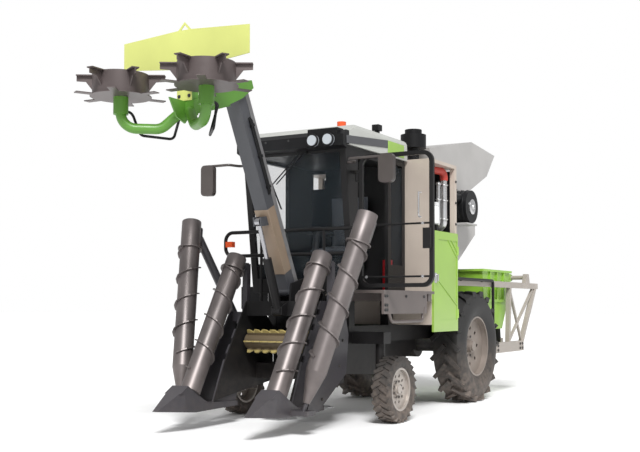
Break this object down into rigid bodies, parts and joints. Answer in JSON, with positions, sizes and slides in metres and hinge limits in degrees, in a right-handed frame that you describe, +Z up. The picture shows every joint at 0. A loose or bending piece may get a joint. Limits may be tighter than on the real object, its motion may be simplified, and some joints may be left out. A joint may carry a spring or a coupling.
{
  "type": "sugarcane harvester",
  "caption": "Wheeled sugarcane harvester with a raised topper boom, spiral crop dividers, cab with open door, trash extractor and tipping cane bin",
  "frame": {"origin": "on the ground, below the middle of the machine's bounding box with the door open", "axes": "+X forward, +Y to the driver's left, +Z up"},
  "size_m": [8, 2.6794, 3.6845],
  "materials": {
    "beacon_orange": "gloss",
    "beige_paint": "satin",
    "black_plastic": "matte",
    "boom_grey": "satin",
    "dark_frame": "satin",
    "front_rim": "satin",
    "glass": "clear",
    "green_paint": "gloss",
    "hood_grey": "satin",
    "iron": "matte",
    "lamp_clear": "gloss",
    "lime_paint": "gloss",
    "panel_green": "gloss",
    "rear_rim": "satin",
    "red_paint": "gloss",
    "rod_chrome": "polished",
    "roller_yellow": "satin",
    "roof_grey": "gloss",
    "scroll_steel": "satin",
    "steel": "satin",
    "tyre": "matte"
  },
  "bodies": {
    "chassis": {"air_intake": "black_plastic", "bay_pipes": "steel", "beacon": "beacon_orange", "bin_carrier": "beige_paint", "cab_frame": "dark_frame", "cab_glass": "glass", "cab_interior": "black_plastic", "cab_roof": "roof_grey", "cab_visor": "black_plastic", "chassis_frame": "dark_frame", "divider_left": "scroll_steel", "divider_right": "scroll_steel", "engine_bay": "beige_paint", "engine_block": "iron", "extractor_chamber": "beige_paint", "extractor_hood": "hood_grey", "feed_casing": "dark_frame", "fire_extinguisher": "red_paint", "front_legs": "dark_frame", "guard_rail": "dark_frame", "landing": "dark_frame", "mirrors": "black_plastic", "rear_axle": "iron", "side_panel_right": "panel_green", "throat_frame": "dark_frame", "work_lamps": "lamp_clear"},
    "boom": {"boom_arm": "boom_grey"},
    "link": {"boom_link": "boom_grey"},
    "lift_barrel_body": {"lift_barrel": "dark_frame"},
    "lift_rod_body": {"lift_rod": "rod_chrome"},
    "topper_head": {"topper_bracket": "green_paint", "topper_hoses": "black_plastic", "topper_shield": "lime_paint"},
    "drum_left": {"topper_drum_left": "boom_grey"},
    "drum_right": {"topper_drum_right": "boom_grey"},
    "inner_scroll_left": {"scroll_inner_left": "scroll_steel"},
    "inner_scroll_right": {"scroll_inner_right": "scroll_steel"},
    "outer_scroll_left": {"scroll_outer_left": "scroll_steel"},
    "outer_scroll_right": {"scroll_outer_right": "scroll_steel"},
    "roller": {"knockdown_roller": "roller_yellow"},
    "cutter_left": {"base_cutter_left": "steel"},
    "cutter_right": {"base_cutter_right": "steel"},
    "steer_left": {"knuckle_left": "iron"},
    "steer_right": {"knuckle_right": "iron"},
    "wheel_front_left": {"tyre_front_left": "tyre", "rim_front_left": "front_rim"},
    "wheel_front_right": {"tyre_front_right": "tyre", "rim_front_right": "front_rim"},
    "wheel_rear_left": {"tyre_rear_left": "tyre", "rim_rear_left": "rear_rim"},
    "wheel_rear_right": {"tyre_rear_right": "tyre", "rim_rear_right": "rear_rim"},
    "door": {"door_frame": "dark_frame", "door_glass": "glass"},
    "side_door": {"side_door_left": "panel_green"},
    "bin": {"cane_bin": "green_paint"},
    "tip_barrel_body": {"tip_barrels": "dark_frame"},
    "tip_rod_body": {"tip_rods": "rod_chrome"},
    "fan": {"extractor_fan": "steel"}
  },
  "joints": [
    {"name": "boom_lift", "type": "hinge", "parent": "chassis", "child": "boom", "pos_m": [1.65, -0.18, 1.36], "axis": [0, 1, 0], "range_deg": [0, 45]},
    {"name": "link_swing", "type": "hinge", "parent": "chassis", "child": "link", "pos_m": [1.5, -0.18, 1.43], "axis": [0, 1, 0], "range_deg": [0, 45]},
    {"name": "head_level", "type": "hinge", "parent": "boom", "child": "topper_head", "pos_m": [2.59, -0.18, 3.22], "axis": [0, 1, 0], "range_deg": [-45, 0]},
    {"name": "lift_swing", "type": "hinge", "parent": "chassis", "child": "lift_barrel_body", "pos_m": [1.795, -0.18, 1.14], "axis": [0, 1, 0], "range_deg": [0, 41.8]},
    {"name": "lift_stroke", "type": "slide", "parent": "lift_barrel_body", "child": "lift_rod_body", "axis": [0.3778, 0, 0.9259], "range_m": [-0.1962, 0]},
    {"name": "drum_left_spin", "type": "hinge", "parent": "topper_head", "child": "drum_left", "pos_m": [3.605, 0.284, 3.1], "axis": [0, 0, 1], "continuous": true},
    {"name": "drum_right_spin", "type": "hinge", "parent": "topper_head", "child": "drum_right", "pos_m": [3.605, -0.644, 3.1], "axis": [0, 0, 1], "continuous": true},
    {"name": "roller_spin", "type": "hinge", "parent": "chassis", "child": "roller", "pos_m": [1.73, -0.18, 0.83], "axis": [0, 1, 0], "continuous": true},
    {"name": "cutter_left_spin", "type": "hinge", "parent": "chassis", "child": "cutter_left", "pos_m": [1.45, 0.03, 0.3], "axis": [0, 0, 1], "continuous": true},
    {"name": "cutter_right_spin", "type": "hinge", "parent": "chassis", "child": "cutter_right", "pos_m": [1.45, -0.39, 0.3], "axis": [0, 0, 1], "continuous": true},
    {"name": "steer_left_turn", "type": "hinge", "parent": "chassis", "child": "steer_left", "pos_m": [1.09, 0.61, 0.525], "axis": [0, 0, 1], "range_deg": [-30, 30]},
    {"name": "steer_right_turn", "type": "hinge", "parent": "chassis", "child": "steer_right", "pos_m": [1.09, -0.97, 0.525], "axis": [0, 0, 1], "range_deg": [-30, 30]},
    {"name": "front_left_spin", "type": "hinge", "parent": "steer_left", "child": "wheel_front_left", "pos_m": [1.09, 0.77, 0.34], "axis": [0, 1, 0], "continuous": true},
    {"name": "front_right_spin", "type": "hinge", "parent": "steer_right", "child": "wheel_front_right", "pos_m": [1.09, -1.13, 0.34], "axis": [0, 1, 0], "continuous": true},
    {"name": "rear_left_spin", "type": "hinge", "parent": "chassis", "child": "wheel_rear_left", "pos_m": [-1.37, 0.55, 0.69], "axis": [0, 1, 0], "continuous": true},
    {"name": "rear_right_spin", "type": "hinge", "parent": "chassis", "child": "wheel_rear_right", "pos_m": [-1.37, -0.91, 0.69], "axis": [0, 1, 0], "continuous": true},
    {"name": "door_swing", "type": "hinge", "parent": "chassis", "child": "door", "pos_m": [1.39, 0.5, 2], "axis": [0, 0, 1], "range_deg": [0, 90]},
    {"name": "side_door_swing", "type": "hinge", "parent": "chassis", "child": "side_door", "pos_m": [-0.59, 0.7678, 1.5], "axis": [0, 0, 1], "range_deg": [0, 100]},
    {"name": "bin_tip", "type": "hinge", "parent": "chassis", "child": "bin", "pos_m": [-3.56, -0.18, 1.6], "axis": [0, -1, 0], "range_deg": [0, 80]},
    {"name": "tip_barrel_swing", "type": "hinge", "parent": "chassis", "child": "tip_barrel_body", "pos_m": [-3.33, -0.18, 0.69], "axis": [0, -1, 0], "range_deg": [0, 9.98]},
    {"name": "tip_stroke", "type": "slide", "parent": "tip_barrel_body", "child": "tip_rod_body", "axis": [0.156, 0, 0.9878], "range_m": [0, 0.4595]},
    {"name": "fan_spin", "type": "hinge", "parent": "chassis", "child": "fan", "pos_m": [-1.23, -0.18, 2.48], "axis": [0, 0, 1], "continuous": true},
    {"name": "inner_scroll_left_spin", "type": "hinge", "parent": "chassis", "child": "inner_scroll_left", "pos_m": [2.59, 0.31, 0.365], "axis": [-0.5149, 0.0142, 0.8571], "continuous": true},
    {"name": "outer_scroll_left_spin", "type": "hinge", "parent": "chassis", "child": "outer_scroll_left", "pos_m": [2.44, 0.542, 0.3], "axis": [-0.3091, 0.1735, 0.9351], "continuous": true},
    {"name": "inner_scroll_right_spin", "type": "hinge", "parent": "chassis", "child": "inner_scroll_right", "pos_m": [2.59, -0.67, 0.365], "axis": [-0.5149, -0.0142, 0.8571], "continuous": true},
    {"name": "outer_scroll_right_spin", "type": "hinge", "parent": "chassis", "child": "outer_scroll_right", "pos_m": [2.44, -0.902, 0.3], "axis": [-0.3091, -0.1735, 0.9351], "continuous": true}
  ],
  "couplings": [
    {"joint": "link_swing", "follows": "boom_lift", "ratio": 1},
    {"joint": "head_level", "follows": "boom_lift", "ratio": -1},
    {"joint": "lift_swing", "follows": "boom_lift", "ratio": 0.92867},
    {"joint": "lift_stroke", "follows": "boom_lift", "m_per_rad": -0.24975},
    {"joint": "cutter_right_spin", "follows": "cutter_left_spin", "ratio": -1},
    {"joint": "steer_right_turn", "follows": "steer_left_turn", "ratio": 1},
    {"joint": "tip_barrel_swing", "follows": "bin_tip", "ratio": 0.12469},
    {"joint": "tip_stroke", "follows": "bin_tip", "m_per_rad": 0.32903}
  ]
}
